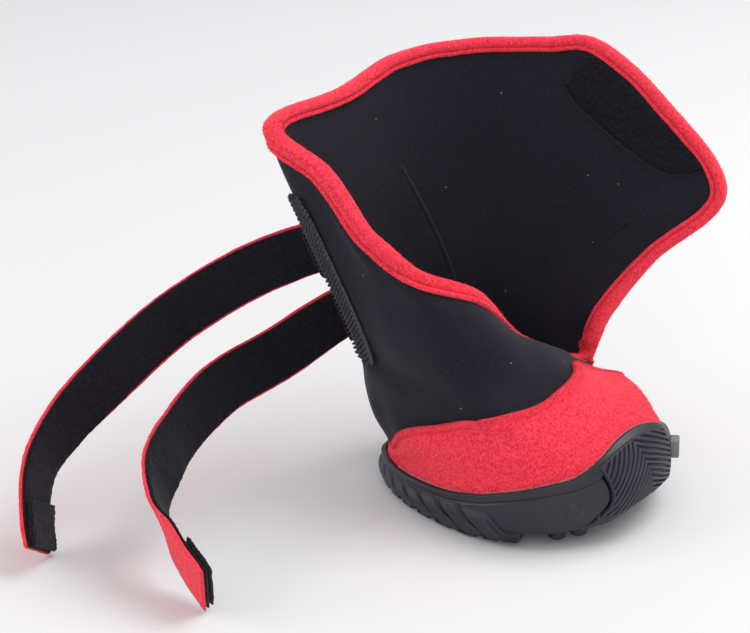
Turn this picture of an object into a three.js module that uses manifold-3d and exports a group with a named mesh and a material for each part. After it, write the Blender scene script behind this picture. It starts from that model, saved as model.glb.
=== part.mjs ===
// A wrap-around dog boot: a cupped rubber outsole, a hollow foam-fabric upper whose shaft is laid open,
// a fleece toe panel, a fleece edge binding, a hook strip with its loop patch, and two long straps.
// Millimetres. +X points to the toe, +Y to the wearer's left, +Z up, and the sole stands on Z = 0.
import * as THREE from "three";
import { mergeVertices } from "three/addons/utils/BufferGeometryUtils.js";
import Module from "manifold-3d";

const wasm = await Module();
wasm.setup();

// ---------- driving sizes ----------
const GAP = 0.3; // clearance between pieces that touch

const OUTSOLE = {
  columns: 48,
  wall: 2,
  floor: 6, // top of the inner floor
  base: 2.6, // underside between the lugs
  toeSpring: 4.6,
  springFrom: -3, // X where the forefoot starts to rise
  springTo: 42,
  padProud: 0.9, // the toe bumper stands out this much
};
const FINS = { perSide: 9, from: -92, pitch: 9.4, width: 3.3, proud: 1.5, top: 10, lean: 17, under: 9 };
const STUD = {
  radius: 2.5,
  sides: 8,
  // turn round the foot and distance in from the edge
  places: [[-52.5, 3.4], [-40, 3.4], [40, 3.4], [52.5, 3.4], [-36, 13], [-12, 11], [12, 11], [36, 13]],
};
const REST = { radius: 7, sides: 24 }; // the round lug under the ball of the foot
const SIDE_LUG = { along: 2.4, tall: 5.6, proud: 2.2, up: 17, turn: 27 };

const UPPER = { wall: 3, edgeWall: 2.4, columnsPerFold: 3, hem: 5 };
const INSOLE = { thickness: 3.4, columns: 48 };
const PANEL = { thickness: 1.6, columns: 48, rows: 5, tuck: 2.2, end: 152 };
const BINDING = { thickness: 1.1, gap: 0.4, cover: 0.7, nose: 1.3, clear: 0.21, steps: 57 };
const STRAP = { width: 16, thickness: 2.4, steps: 28 };
const TAB = { thickness: 1.3, width: 15.4, from: 0.84, to: 0.995 };
const HOOK_STRIP = { width: 16, thickness: 1.4, rows: 14, columns: 4, from: 43, to: 93, ahead: 14.5 };
const LOOP_PATCH = { width: 13, thickness: 1.3, inset: 4.4, from: 0.02, to: 1.82, rows: 4, columns: 12 };

// Closed rings of the foot, lowest first. back and front are where each ring ends at heel and toe; half is
// its half width at the ball and heel its half width towards the heel.
const MIDDLE = 6; // X of the widest part
const FOOT_SECTIONS = [
  { name: "lasted edge", up: 6.3, back: -42.6, front: 38.3, half: 31.0, heel: 28.5, square: 2.15 },
  { name: "rim", up: 14, back: -44.5, front: 38.6, half: 31.6, heel: 29.5, square: 2.15 },
  { name: "toe box", up: 22, back: -49.2, front: 36.4, half: 31.2, heel: 31.2, square: 2.25 },
  { name: "knuckle", up: 29.5, back: -53, front: 30.4, half: 28.4, heel: 31.4, square: 2.25 },
];

// The folds of the shaft, once round from the throat on the left by the instep, the right and the back to the
// flap. turn is the angle round the foot, mid is where the fold passes the ankle, edge is where the fabric ends.
// via is where it bellies out or turns on the way; a fold without one runs straight.
const FOLDS = [
  { name: "throat", turn: 86, mid: [6, 28.6, 31], via: [5.6, 28.3, 32.9], edge: [4.9, 27.4, 34.8] },
  { name: "vamp left", turn: 58, mid: [11.2, 21, 32.6], via: [6.3, 21, 36], edge: [-1, 20, 35.6] },
  { name: "instep left", turn: 32, mid: [13.2, 11.2, 37], via: [5.5, 12.5, 41.8], edge: [-5, 13.5, 39.8] },
  { name: "instep", turn: -4, mid: [12.5, -2, 44.5], via: [2.5, 2, 48.4], edge: [-8.5, 6.5, 46] },
  { name: "instep right", turn: -38, mid: [8.5, -17, 44.5], via: [1.6, -16.3, 56], edge: [-9, -13, 66.5] },
  { name: "right side", turn: -70, mid: [-4, -27, 45], via: [-11, -27.8, 60.4], edge: [-19, -26.5, 75] },
  { name: "near panel low", turn: -102, mid: [-19.5, -28.6, 46], edge: [-32, -31, 84] },
  { name: "near panel", turn: -128, mid: [-34, -26, 47], edge: [-47, -34.9, 103.2] },
  {
    name: "near corner", turn: -148, mid: [-45.4, -22.9, 48], via: [-54.3, -30.6, 80],
    edge: [-63.3, -36.8, 112.4],
  },
  { name: "rear corner", turn: -164, mid: [-49.8, -13, 49], edge: [-67, -29.5, 114.6] },
  { name: "back", turn: -182, mid: [-51, 0, 50], edge: [-64, -2, 115.5] },
  { name: "back left", turn: -201, mid: [-46, 14, 50], edge: [-59.5, 20, 121] },
  { name: "left side", turn: -216, mid: [-37, 24.5, 51], edge: [-46, 40, 122.6] },
  { name: "flap root", turn: -227, mid: [-28.5, 30, 51], edge: [-25, 53, 122.9] },
  { name: "flap top corner", turn: -235, mid: [-21.5, 33, 51], via: [-15, 46, 86], edge: [-11, 58, 123.3] },
  { name: "flap closure", turn: -242, mid: [-15.5, 34.3, 51], via: [-1, 48.5, 82], edge: [13.2, 60, 106.5] },
  { name: "flap low corner", turn: -248, mid: [-10, 34.5, 50], via: [13, 49, 76], edge: [34, 57.5, 83] },
  { name: "flap lower edge", turn: -255, mid: [-5, 34, 46.5], via: [4, 42.5, 66], edge: [17, 46, 62.5] },
  { name: "flap low root", turn: -263, mid: [0, 31.8, 38], via: [0, 34, 46], edge: [8.8, 33.4, 46.5] },
];
const foldAlong = (name, further) => (FOLDS.findIndex((f) => f.name === name) + further) / FOLDS.length;

// Rim of the rubber cup and the upper edge of the toe panel, by the angle round the foot.
const RIM_LINE = [
  { turn: -180, up: 9.5 },
  { turn: -150, up: 9.3 },
  { turn: -134, up: 10 },
  { turn: -114, up: 11.5 },
  { turn: -100, up: 12.8 },
  { turn: -80, up: 17 },
  { turn: -58, up: 20.5 },
  { turn: -43, up: 22 },
  { turn: -28, up: 24.5 },
  { turn: -14, up: 26.5 },
  { turn: 0, up: 27 },
  { turn: 14, up: 25.5 },
  { turn: 24, up: 23.2 },
  { turn: 38, up: 20.5 },
  { turn: 62, up: 17 },
  { turn: 90, up: 13.4 },
  { turn: 120, up: 11 },
  { turn: 150, up: 9.3 },
  { turn: 180, up: 9.5 },
];
const PANEL_LINE = [
  { turn: -152, up: 11.5 },
  { turn: -134, up: 17.5 },
  { turn: -120, up: 24.5 },
  { turn: -106, up: 29.5 },
  { turn: -92, up: 34 },
  { turn: -68, up: 36.5 },
  { turn: -37, up: 38.5 },
  { turn: -19, up: 40.5 },
  { turn: 0, up: 41.8 },
  { turn: 14, up: 41.6 },
  { turn: 26, up: 39.6 },
  { turn: 42, up: 36.2 },
  { turn: 62, up: 31.2 },
  { turn: 85, up: 27.6 },
  { turn: 110, up: 25 },
  { turn: 135, up: 17.5 },
  { turn: 152, up: 11.5 },
];

// Centre lines of the straps from the hook strip to the floor. heading and rise aim the strap's width.
const UPPER_STRAP = [
  { x: -75.5, y: -33, z: 66, heading: 195, rise: 59 },
  { x: -92, y: -50, z: 53.5, heading: 190, rise: 50 },
  { x: -96, y: -72, z: 44.5, heading: 206, rise: 47 },
  { x: -100, y: -92, z: 33, heading: 250, rise: 41 },
  { x: -100, y: -104, z: 24, heading: 275, rise: 36 },
  { x: -96, y: -111.5, z: 13, heading: 287, rise: 26 },
  { x: -91.5, y: -116, z: 5, heading: 294, rise: 22 },
];
const LOWER_STRAP = [
  { x: -66, y: -35, z: 41.5, heading: 191, rise: 59 },
  { x: -71, y: -55, z: 37.5, heading: 214, rise: 52 },
  { x: -69.5, y: -76, z: 32, heading: 256, rise: 41 },
  { x: -64, y: -92, z: 27.5, heading: 272, rise: 28 },
  { x: -58.5, y: -100, z: 22, heading: 300, rise: 28 },
  { x: -49.5, y: -105, z: 16.5, heading: 322, rise: 40 },
  { x: -41, y: -108.5, z: 12, heading: 322, rise: 55 },
  { x: -32.2, y: -112, z: 8.8, heading: 316, rise: 64 },
];

// ---------- small helpers ----------
const rad = (deg) => (deg * Math.PI) / 180;
const lerp = THREE.MathUtils.lerp;
const vec = (x, y, z) => new THREE.Vector3(x, y, z);
const range = (n, f) => Array.from({ length: n }, (_, k) => f(k));

function ease(from, to, x) {
  const t = THREE.MathUtils.clamp((x - from) / (to - from), 0, 1);
  return t * t * (3 - 2 * t);
}

// An angle brought into the half circle on either side of the toe.
function foldTurn(turn) {
  return THREE.MathUtils.euclideanModulo(turn + 180, 360) - 180;
}

// A smooth line through rows of { turn, up }.
function lineAt(rows, turn) {
  const t = foldTurn(turn);
  let k = 0;
  while (k < rows.length - 2 && t > rows[k + 1].turn) k++;
  const span = rows[k + 1].turn - rows[k].turn;
  const f = THREE.MathUtils.clamp((t - rows[k].turn) / span, 0, 1);
  const slope = (n) => {
    const a = rows[Math.max(n - 1, 0)];
    const b = rows[Math.min(n + 1, rows.length - 1)];
    return ((b.up - a.up) / (b.turn - a.turn)) * span;
  };
  const f2 = f * f;
  const f3 = f2 * f;
  return rows[k].up * (2 * f3 - 3 * f2 + 1) + slope(k) * (f3 - 2 * f2 + f) +
    rows[k + 1].up * (3 * f2 - 2 * f3) + slope(k + 1) * (f3 - f2);
}

// A closed solid from a grid of points rows[j][i], closed round i. Both ends of j are capped unless it loops.
function gridSolid(rows, { loop = false } = {}) {
  const positions = [];
  const index = [];
  const count = rows[0].length;
  rows.forEach((row) => row.forEach((p) => positions.push(p.x, p.y, p.z)));
  const at = (j, i) => (j % rows.length) * count + (i % count);
  const last = loop ? rows.length : rows.length - 1;
  for (let j = 0; j < last; j++) {
    for (let i = 0; i < count; i++) {
      index.push(at(j, i), at(j, i + 1), at(j + 1, i + 1));
      index.push(at(j, i), at(j + 1, i + 1), at(j + 1, i));
    }
  }
  if (!loop) {
    capRow(positions, index, rows[0], (i) => at(0, i), true);
    capRow(positions, index, rows[rows.length - 1], (i) => at(rows.length - 1, i), false);
  }
  return facingOut(positions, index);
}

function capRow(positions, index, row, at, flip) {
  if (row.length === 4) {
    if (flip) index.push(at(0), at(3), at(2), at(0), at(2), at(1));
    else index.push(at(0), at(1), at(2), at(0), at(2), at(3));
    return;
  }
  const centre = new THREE.Vector3();
  row.forEach((p) => centre.addScaledVector(p, 1 / row.length));
  const hub = positions.length / 3;
  positions.push(centre.x, centre.y, centre.z);
  for (let i = 0; i < row.length; i++) {
    if (flip) index.push(hub, at(i + 1), at(i));
    else index.push(hub, at(i), at(i + 1));
  }
}

// A thin sheet from a grid of outer points and the matching grid of inner points.
function sheetSolid(outer, inner) {
  const rows = outer.length;
  const cols = outer[0].length;
  const positions = [];
  const index = [];
  for (const grid of [outer, inner]) {
    grid.forEach((row) => row.forEach((p) => positions.push(p.x, p.y, p.z)));
  }
  const a = (j, i) => j * cols + i;
  const b = (j, i) => rows * cols + j * cols + i;
  const quad = (p, q, r, s) => index.push(p, q, r, p, r, s);
  for (let j = 0; j < rows - 1; j++) {
    for (let i = 0; i < cols - 1; i++) {
      quad(a(j, i), a(j, i + 1), a(j + 1, i + 1), a(j + 1, i));
      quad(b(j, i), b(j + 1, i), b(j + 1, i + 1), b(j, i + 1));
    }
    quad(a(j, 0), a(j + 1, 0), b(j + 1, 0), b(j, 0));
    quad(a(j, cols - 1), b(j, cols - 1), b(j + 1, cols - 1), a(j + 1, cols - 1));
  }
  for (let i = 0; i < cols - 1; i++) {
    quad(a(0, i), b(0, i), b(0, i + 1), a(0, i + 1));
    quad(a(rows - 1, i), a(rows - 1, i + 1), b(rows - 1, i + 1), b(rows - 1, i));
  }
  return facingOut(positions, index);
}

function geometryOf(positions, index) {
  const geometry = new THREE.BufferGeometry();
  geometry.setAttribute("position", new THREE.Float32BufferAttribute(positions, 3));
  geometry.setIndex(index);
  return geometry;
}

function facingOut(positions, index) {
  const p = (k) => vec(positions[3 * k], positions[3 * k + 1], positions[3 * k + 2]);
  let volume = 0;
  for (let t = 0; t < index.length; t += 3) {
    volume += p(index[t]).dot(p(index[t + 1]).cross(p(index[t + 2])));
  }
  if (volume < 0) {
    for (let t = 0; t < index.length; t += 3) {
      [index[t + 1], index[t + 2]] = [index[t + 2], index[t + 1]];
    }
  }
  return geometryOf(positions, index);
}

// ---------- solid joining ----------
function toSolid(geometry) {
  const bare = new THREE.BufferGeometry();
  bare.setAttribute("position", geometry.getAttribute("position"));
  bare.setIndex(geometry.getIndex());
  const merged = mergeVertices(bare, 1e-4);
  const mesh = new wasm.Mesh({
    numProp: 3,
    vertProperties: new Float32Array(merged.getAttribute("position").array),
    triVerts: new Uint32Array(merged.getIndex().array),
  });
  return new wasm.Manifold(mesh);
}

function fromSolid(solid) {
  const mesh = solid.getMesh();
  return geometryOf(Array.from(mesh.vertProperties), Array.from(mesh.triVerts));
}

function union(geometries) {
  const solids = geometries.map(toSolid);
  return fromSolid(wasm.Manifold.union(solids));
}

// ---------- the upper's own surface ----------
const foldCount = FOLDS.length;
const halfway = (f) => f.mid.map((m, k) => (m + f.edge[k]) / 2);
const loopThrough = (pick) => (
  new THREE.CatmullRomCurve3(FOLDS.map((f) => vec(...pick(f))), true, "centripetal")
);
const ankleLoop = loopThrough((f) => f.mid);
const viaLoop = loopThrough((f) => f.via ?? halfway(f));
const edgeLoop = loopThrough((f) => f.edge);

function springAt(x) {
  const t = THREE.MathUtils.clamp((x - OUTSOLE.springFrom) / (OUTSOLE.springTo - OUTSOLE.springFrom), 0, 1);
  return OUTSOLE.toeSpring * t * t * (3 - 2 * t);
}

// A value carried smoothly from fold to fold; u runs from 0 at the throat to 1 back at the throat.
function alongFolds(u, value) {
  const s = u * foldCount;
  const k = Math.floor(s);
  const t = s - k;
  const [a, b, c, d] = [value(k - 1), value(k), value(k + 1), value(k + 2)];
  return 0.5 * (2 * b + (c - a) * t + (2 * a - 5 * b + 4 * c - d) * t * t + (3 * b - a - 3 * c + d) * t ** 3);
}
const foldAt = (n) => FOLDS[THREE.MathUtils.euclideanModulo(n, foldCount)];
const turnAt = (u) => alongFolds(u, (n) => foldAt(n).turn - 360 * Math.floor(n / foldCount));

function uAt(turn) {
  let low = -0.5;
  let high = 1.5;
  for (let n = 0; n < 40; n++) {
    const mid = (low + high) / 2;
    if (turnAt(mid) > turn) low = mid;
    else high = mid;
  }
  return low;
}

function ringPoint(section, turn) {
  const c = Math.cos(rad(turn));
  const s = Math.sin(rad(turn));
  const power = 2 / section.square;
  const reach = c > 0 ? section.front - MIDDLE : MIDDLE - section.back;
  const x = MIDDLE + reach * Math.sign(c) * Math.abs(c) ** power;
  const half = lerp(section.half, section.heel, Math.max(0, -c));
  const y = half * Math.sign(s) * Math.abs(s) ** power;
  return vec(x, y, section.up + springAt(x) * (1 - section.up / 36));
}

// The direction into the fabric from its free edge, square to the edge, and how deep the hem goes.
function inwardAt(u) {
  const along = edgeLoop.getTangent(u);
  const inward = viaLoop.getPoint(u).sub(edgeLoop.getPoint(u));
  return inward.addScaledVector(along, -inward.dot(along)).normalize();
}
const hemAt = (u) => Math.min(UPPER.hem, 0.55 * viaLoop.getPoint(u).distanceTo(edgeLoop.getPoint(u)));

// One meridian of the upper, from the lasted edge to the binding.
const meridians = new Map();
function meridian(u) {
  const key = u.toFixed(6);
  if (!meridians.has(key)) {
    const wrapped = THREE.MathUtils.euclideanModulo(u, 1);
    const points = FOOT_SECTIONS.map((section) => ringPoint(section, turnAt(u)));
    const mid = ankleLoop.getPoint(wrapped);
    const via = viaLoop.getPoint(wrapped);
    const edge = edgeLoop.getPoint(wrapped);
    points.push(mid, via, edge.clone().addScaledVector(inwardAt(wrapped), hemAt(wrapped)), edge);
    meridians.set(key, new THREE.CatmullRomCurve3(points, false, "centripetal"));
  }
  return meridians.get(key);
}
const surface = (u, v) => meridian(u).getPoint(v);

function normalAt(u, v) {
  const e = 1e-3;
  const around = surface(u + e, v).sub(surface(u - e, v));
  const up = surface(u, Math.min(v + e, 1)).sub(surface(u, Math.max(v - e, 0)));
  return up.cross(around).normalize();
}
const offsetPoint = (u, v, off) => surface(u, v).addScaledVector(normalAt(u, v), off);

// How far up the meridian a height is reached.
function vAtHeight(u, z) {
  let low = 0;
  let high = 1;
  for (let n = 0; n < 30; n++) {
    const mid = (low + high) / 2;
    if (surface(u, mid).z < z) low = mid;
    else high = mid;
  }
  return low;
}

// The place { u, v } on the fabric nearest to a point, starting from a guess.
function nearest(target, guess) {
  const e = 1e-4;
  const place = { ...guess };
  for (let n = 0; n < 14; n++) {
    const here = surface(place.u, place.v);
    const perU = surface(place.u + e, place.v).sub(here).divideScalar(e);
    const perV = here.clone().sub(surface(place.u, place.v - e)).divideScalar(e);
    const miss = target.clone().sub(here);
    const [a, b, c] = [perU.dot(perU), perU.dot(perV), perV.dot(perV)];
    const [d, f] = [perU.dot(miss), perV.dot(miss)];
    const det = a * c - b * b;
    place.u += THREE.MathUtils.clamp((d * c - b * f) / det, -0.02, 0.02);
    place.v = THREE.MathUtils.clamp(place.v + (a * f - b * d) / det, 0.3, 1);
  }
  return place;
}

// The place on the fabric at a depth in from the free edge at u.
function inFromEdge(u, depth) {
  const inward = inwardAt(THREE.MathUtils.euclideanModulo(u, 1));
  let place = { u, v: 1 };
  for (const part of [0.35, 0.7, 1]) {
    place = nearest(surface(u, 1).addScaledVector(inward, depth * part), place);
  }
  return place;
}

// ---------- upper ----------
const upperLevels = [0, 0.5, 1, 1.5, 2, 2.5, 3, 3.5, 4, 4.35, 4.7, 5, 5.35, 5.7, 6, 7].map((s) => s / 7);

function upperGeometry(grown = 0) {
  const columns = foldCount * UPPER.columnsPerFold;
  const ring = (v, off) => range(columns, (i) => offsetPoint(i / columns, v, off)
    .addScaledVector(inwardAt(i / columns), v === 1 ? -grown : 0));
  const outside = upperLevels.map((v) => ring(v, grown));
  const inside = upperLevels.map((v) => ring(v, -grown - (v === 1 ? UPPER.edgeWall : UPPER.wall))).reverse();
  return gridSolid(outside.concat(inside), { loop: true });
}

// ---------- insole ----------
function insoleGeometry() {
  const outline = (up) => range(INSOLE.columns, (i) => {
    const u = uAt(62 - (360 * i) / INSOLE.columns);
    const p = offsetPoint(u, 0, 0);
    const n = normalAt(u, 0).setZ(0).normalize();
    return p.addScaledVector(n, -UPPER.wall - 2 * GAP).add(vec(0, 0, up));
  });
  return gridSolid([outline(0), outline(INSOLE.thickness)]);
}

// ---------- outsole ----------
// Room for the toe panel between the rubber and the upper.
const PANEL_ROOM = PANEL.thickness + 2 * GAP + 0.35;
const panelRoom = (turn) => lerp(0.8, PANEL_ROOM, 1 - ease(PANEL.end + 3, PANEL.end + 12,
  Math.abs(foldTurn(turn))));
const bumper = (turn) => OUTSOLE.padProud * (1 - ease(30, 36, Math.abs(foldTurn(turn) - 6)));

function soleEdge(turn, off, up) {
  const u = uAt(turn);
  const p = surface(u, 0);
  const n = normalAt(u, 0).setZ(0).normalize();
  p.addScaledVector(n, panelRoom(turn) + off);
  p.z += up - FOOT_SECTIONS[0].up;
  return p;
}

function cupGeometry() {
  const turns = range(OUTSOLE.columns, (i) => 62 - (360 * i) / OUTSOLE.columns);
  const forefoot = (p) => ease(5, 30, p.x);
  const outerLift = (turn) => 4.2 + 2.2 * forefoot(soleEdge(turn, 0, 0));
  const rows = [
    turns.map((turn) => soleEdge(turn, -14, OUTSOLE.base)),
    turns.map((turn) => soleEdge(turn, OUTSOLE.wall - 3.6, OUTSOLE.base)),
    turns.map((turn) => soleEdge(turn, OUTSOLE.wall - 0.7, outerLift(turn) - 2.2)),
    turns.map((turn) => soleEdge(turn, OUTSOLE.wall + bumper(turn), outerLift(turn) + 0.6)),
  ];
  const wall = (fraction, off) => turns.map((turn) => {
    const u = uAt(turn);
    const v = vAtHeight(u, lineAt(RIM_LINE, turn));
    return offsetPoint(u, v * fraction, panelRoom(turn) + off(turn));
  });
  rows.push(wall(0.42, (turn) => OUTSOLE.wall + bumper(turn)));
  rows.push(wall(0.7, (turn) => OUTSOLE.wall + bumper(turn)));
  rows.push(wall(0.88, (turn) => OUTSOLE.wall + 0.4 * bumper(turn)));
  rows.push(wall(1, () => OUTSOLE.wall - 0.3));
  for (const fraction of [1, 0.86, 0.7, 0.52, 0.35, 0.18]) rows.push(wall(fraction, () => 0));
  rows.push(turns.map((turn) => soleEdge(turn, 0, OUTSOLE.floor)));
  return gridSolid(rows);
}

// One curved blade down the side of the heel, with a foot under the sole.
function finGeometry(topTurn, side, width) {
  const z = OUTSOLE.base + 0.3;
  const top = Math.min(FINS.top, lineAt(RIM_LINE, side * topTurn) - 2.2);
  const levels = [
    { up: top, inner: 0.9 },
    { up: 0.6 * top, inner: 0.9 },
    { up: z + 1, inner: 0.9 },
    { up: z, inner: -FINS.under },
    { up: 0, inner: -FINS.under },
  ];
  const rows = levels.map(({ up, inner }, n) => {
    const drop = 1 - up / top;
    const turn = topTurn + FINS.lean * drop ** 1.3;
    const proud = OUTSOLE.wall + FINS.proud * (n === 0 ? 0.1 : 1) - (up < 1 ? 3.2 : 0);
    const corner = (sign, off) => {
      const p = soleEdge(side * (turn + (sign * width) / 2 / 0.55), off, 0);
      const q = soleEdge(side * turn, off, 0);
      p.sub(q).setLength(width / 2).add(q);
      p.z = up + (up > 1 ? springAt(p.x) : 0);
      return p;
    };
    return [corner(-1, inner), corner(1, inner), corner(1, proud), corner(-1, proud)];
  });
  return gridSolid(rows);
}

function studGeometry(x, y, radius, sides, foot) {
  const ring = (r, up) => range(sides, (i) => {
    const angle = (2 * Math.PI * (i + 0.5)) / sides;
    return vec(x + r * Math.cos(angle), y + r * Math.sin(angle), up);
  });
  const top = OUTSOLE.base + springAt(x) + 2.2;
  return gridSolid([ring(radius, foot), ring(radius + 0.3, top)]);
}

function outsoleGeometry() {
  const pieces = [cupGeometry()];
  for (const side of [1, -1]) {
    for (let n = 0; n < FINS.perSide; n++) {
      const width = n === 0 ? 1.25 * FINS.width : FINS.width;
      pieces.push(finGeometry(FINS.from - n * FINS.pitch, side, width));
    }
  }
  for (const [turn, inset] of STUD.places) {
    const p = soleEdge(turn, -inset, 0);
    pieces.push(studGeometry(p.x, p.y, STUD.radius, STUD.sides, Math.max(0, springAt(p.x) - 1.2)));
  }
  for (const x of [-16, -31]) pieces.push(studGeometry(x, 0, 5, 16, 0));
  pieces.push(studGeometry(0, 0, REST.radius, REST.sides, 0));
  pieces.push(sideLug());
  return union(pieces);
}

// A small moulded block on the left of the toe.
function sideLug() {
  const u = uAt(SIDE_LUG.turn);
  const v = vAtHeight(u, SIDE_LUG.up);
  const p = surface(u, v);
  const n = normalAt(u, v).setZ(0).normalize();
  const t = vec(-n.y, n.x, 0);
  const from = panelRoom(SIDE_LUG.turn) + 1;
  const to = panelRoom(SIDE_LUG.turn) + OUTSOLE.wall + OUTSOLE.padProud + SIDE_LUG.proud;
  const corner = (off, along, up) => p.clone().addScaledVector(n, off).addScaledVector(t, along)
    .add(vec(0, 0, up));
  const row = (up) => [corner(from, -SIDE_LUG.along, up), corner(to, -SIDE_LUG.along, up),
    corner(to, SIDE_LUG.along, up), corner(from, SIDE_LUG.along, up)];
  return gridSolid([row(-SIDE_LUG.tall / 2), row(SIDE_LUG.tall / 2)]);
}

// ---------- toe panel ----------
function toePanelGeometry() {
  const side = (off) => range(PANEL.rows + 1, (j) => range(PANEL.columns + 1, (i) => {
    const turn = lerp(PANEL.end, -PANEL.end, i / PANEL.columns);
    const u = uAt(turn);
    const low = vAtHeight(u, lineAt(RIM_LINE, turn) - PANEL.tuck);
    const high = vAtHeight(u, lineAt(PANEL_LINE, turn));
    return offsetPoint(u, lerp(low, high, j / PANEL.rows), off);
  }));
  return sheetSolid(side(GAP + PANEL.thickness), side(GAP + 0.5));
}

// ---------- edge binding ----------
function bindingGeometry() {
  const w = UPPER.edgeWall;
  const gap = BINDING.gap;
  const out = gap + BINDING.thickness;
  const rows = range(BINDING.steps, (n) => {
    const u = n / BINDING.steps;
    const edge = surface(u, 1);
    const normal = normalAt(u, 1);
    const away = inwardAt(u).negate();
    const nose = (off, ahead) => edge.clone().addScaledVector(normal, off).addScaledVector(away, ahead);
    const hem = (off) => {
      const end = nose(off > 0 ? off : off + UPPER.wall - w, 0);
      return offsetPoint(u, 6 / 7, off).lerp(end, 1 - BINDING.cover);
    };
    const far = UPPER.wall;
    return [
      nose(gap, GAP), nose(-w - gap, GAP), hem(-far - gap), hem(-far - out + 0.2),
      nose(-w - out, 0), nose(-w / 2, BINDING.nose + 0.3), nose(out, 0), hem(out - 0.2), hem(gap),
    ];
  });
  const fold = toSolid(gridSolid(rows, { loop: true }));
  const clear = toSolid(upperGeometry(BINDING.clear));
  const cut = fold.subtract(clear).subtract(toSolid(upperGeometry())).decompose();
  return fromSolid(cut.sort((a, b) => b.volume() - a.volume())[0]);
}

// ---------- hook strip and loop patch ----------
// A patch on the upper between two offsets, from points given as { u, v }.
function patchGeometry(points, near, far) {
  const side = (off) => points.map((row) => row.map(({ u, v }) => offsetPoint(u, v, off)));
  return sheetSolid(side(far), side(near));
}

const STRIP_FOLD = foldAlong("near corner", 0.25);

// A place beside the line of the strip: z picks the height on that line, across steps over the fabric to the
// back.
function besideStrip(z, across) {
  const v = vAtHeight(STRIP_FOLD, z);
  const centre = surface(STRIP_FOLD, v);
  const line = surface(STRIP_FOLD, v + 0.02).sub(surface(STRIP_FOLD, v - 0.02)).normalize();
  const normal = normalAt(STRIP_FOLD, v);
  const back = normal.clone().cross(line).normalize();
  const guess = { u: STRIP_FOLD, v };
  const place = nearest(centre.addScaledVector(back, across), guess);
  return { ...place, line, back, normal };
}

function hookStripGeometry() {
  const points = range(HOOK_STRIP.rows + 1, (j) => range(HOOK_STRIP.columns + 1, (i) => besideStrip(
    lerp(HOOK_STRIP.from, HOOK_STRIP.to, j / HOOK_STRIP.rows),
    (i / HOOK_STRIP.columns) * HOOK_STRIP.width - HOOK_STRIP.ahead)));
  return patchGeometry(points, GAP + 0.15, GAP + HOOK_STRIP.thickness);
}

function loopPatchGeometry() {
  const points = range(LOOP_PATCH.rows + 1, (j) => range(LOOP_PATCH.columns + 1, (i) => {
    const u = foldAlong("flap top corner", lerp(LOOP_PATCH.from, LOOP_PATCH.to, i / LOOP_PATCH.columns));
    return inFromEdge(u, LOOP_PATCH.inset + (LOOP_PATCH.width * j) / LOOP_PATCH.rows);
  }));
  const near = -UPPER.wall - GAP;
  return patchGeometry(points, near, near - LOOP_PATCH.thickness);
}

// ---------- straps ----------
// The strap leaves the strip's rear edge flat on the fabric, then follows its rows to the floor.
function strapFrame(rows, rootUp) {
  const rear = besideStrip(rootUp, HOOK_STRIP.width - HOOK_STRIP.ahead + 0.7);
  const root = offsetPoint(rear.u, rear.v, GAP + STRAP.thickness / 2 + 0.85);
  const roots = [root, root.clone().addScaledVector(rear.back, 5).addScaledVector(rear.normal, 0.4)];
  const rootAim = [rear.line, rear.line];
  const path = roots.concat(rows.map((r) => vec(r.x, r.y, r.z)));
  const curve = new THREE.CatmullRomCurve3(path, false, "centripetal");
  const aim = new THREE.CatmullRomCurve3(rootAim.concat(rows.map((r) => vec(
    Math.cos(rad(r.rise)) * Math.cos(rad(r.heading)),
    Math.cos(rad(r.rise)) * Math.sin(rad(r.heading)),
    Math.sin(rad(r.rise))))), false, "centripetal");
  return (t) => {
    const p = curve.getPoint(t);
    const tangent = curve.getTangent(t);
    const across = aim.getPoint(t);
    across.addScaledVector(tangent, -across.dot(tangent)).normalize();
    const out = across.clone().cross(tangent).normalize();
    return { p, tangent, across, out };
  };
}

function strapBar(frameAt, from, to, steps, width, low, high) {
  const rows = range(steps + 1, (n) => {
    const { p, across, out } = frameAt(lerp(from, to, n / steps));
    const corner = (a, o) => p.clone().addScaledVector(across, a).addScaledVector(out, o);
    const side = width / 2;
    return [corner(-side, low), corner(side, low), corner(side, high), corner(-side, high)];
  });
  return gridSolid(rows);
}

// ---------- assembly ----------
const boot = new THREE.Group();
boot.name = "dog_boot";
function add(name, geometry, color, roughness) {
  const mesh = new THREE.Mesh(geometry, new THREE.MeshStandardMaterial({ color, roughness, metalness: 0 }));
  mesh.name = name;
  boot.add(mesh);
}
add("outsole", outsoleGeometry(), 0x2b2e36, 0.75);
add("insole", insoleGeometry(), 0x222226, 0.95);
add("upper", upperGeometry(), 0x1b1b20, 0.9);
add("toe_panel", toePanelGeometry(), 0xd8222c, 0.95);
add("binding", bindingGeometry(), 0xd8222c, 0.95);
add("hook_strip", hookStripGeometry(), 0x1c1e26, 0.8);
add("loop_patch", loopPatchGeometry(), 0x18181c, 0.95);
for (const [name, rows, rootUp] of [["upper", UPPER_STRAP, 73.5], ["lower", LOWER_STRAP, 51.5]]) {
  const frameAt = strapFrame(rows, rootUp);
  const half = STRAP.thickness / 2;
  add(`strap_${name}`, strapBar(frameAt, 0, 1, STRAP.steps, STRAP.width, -half, half), 0x17171b, 0.95);
  const under = half + GAP;
  add(`tab_${name}`, strapBar(frameAt, TAB.from, TAB.to, 5, TAB.width, under, under + TAB.thickness),
    0x141418, 0.95);
}

export default boot;
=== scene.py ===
# A dog boot standing open on a pale studio floor: rubber cup sole, foam fabric upper with its wrap shaft laid
# open, red fleece toe panel and edge tape, a hook strip, a loop patch and two straps with fuzzy hook tabs.
import bpy
import math
import random
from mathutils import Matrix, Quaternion, Vector, noise


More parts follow.
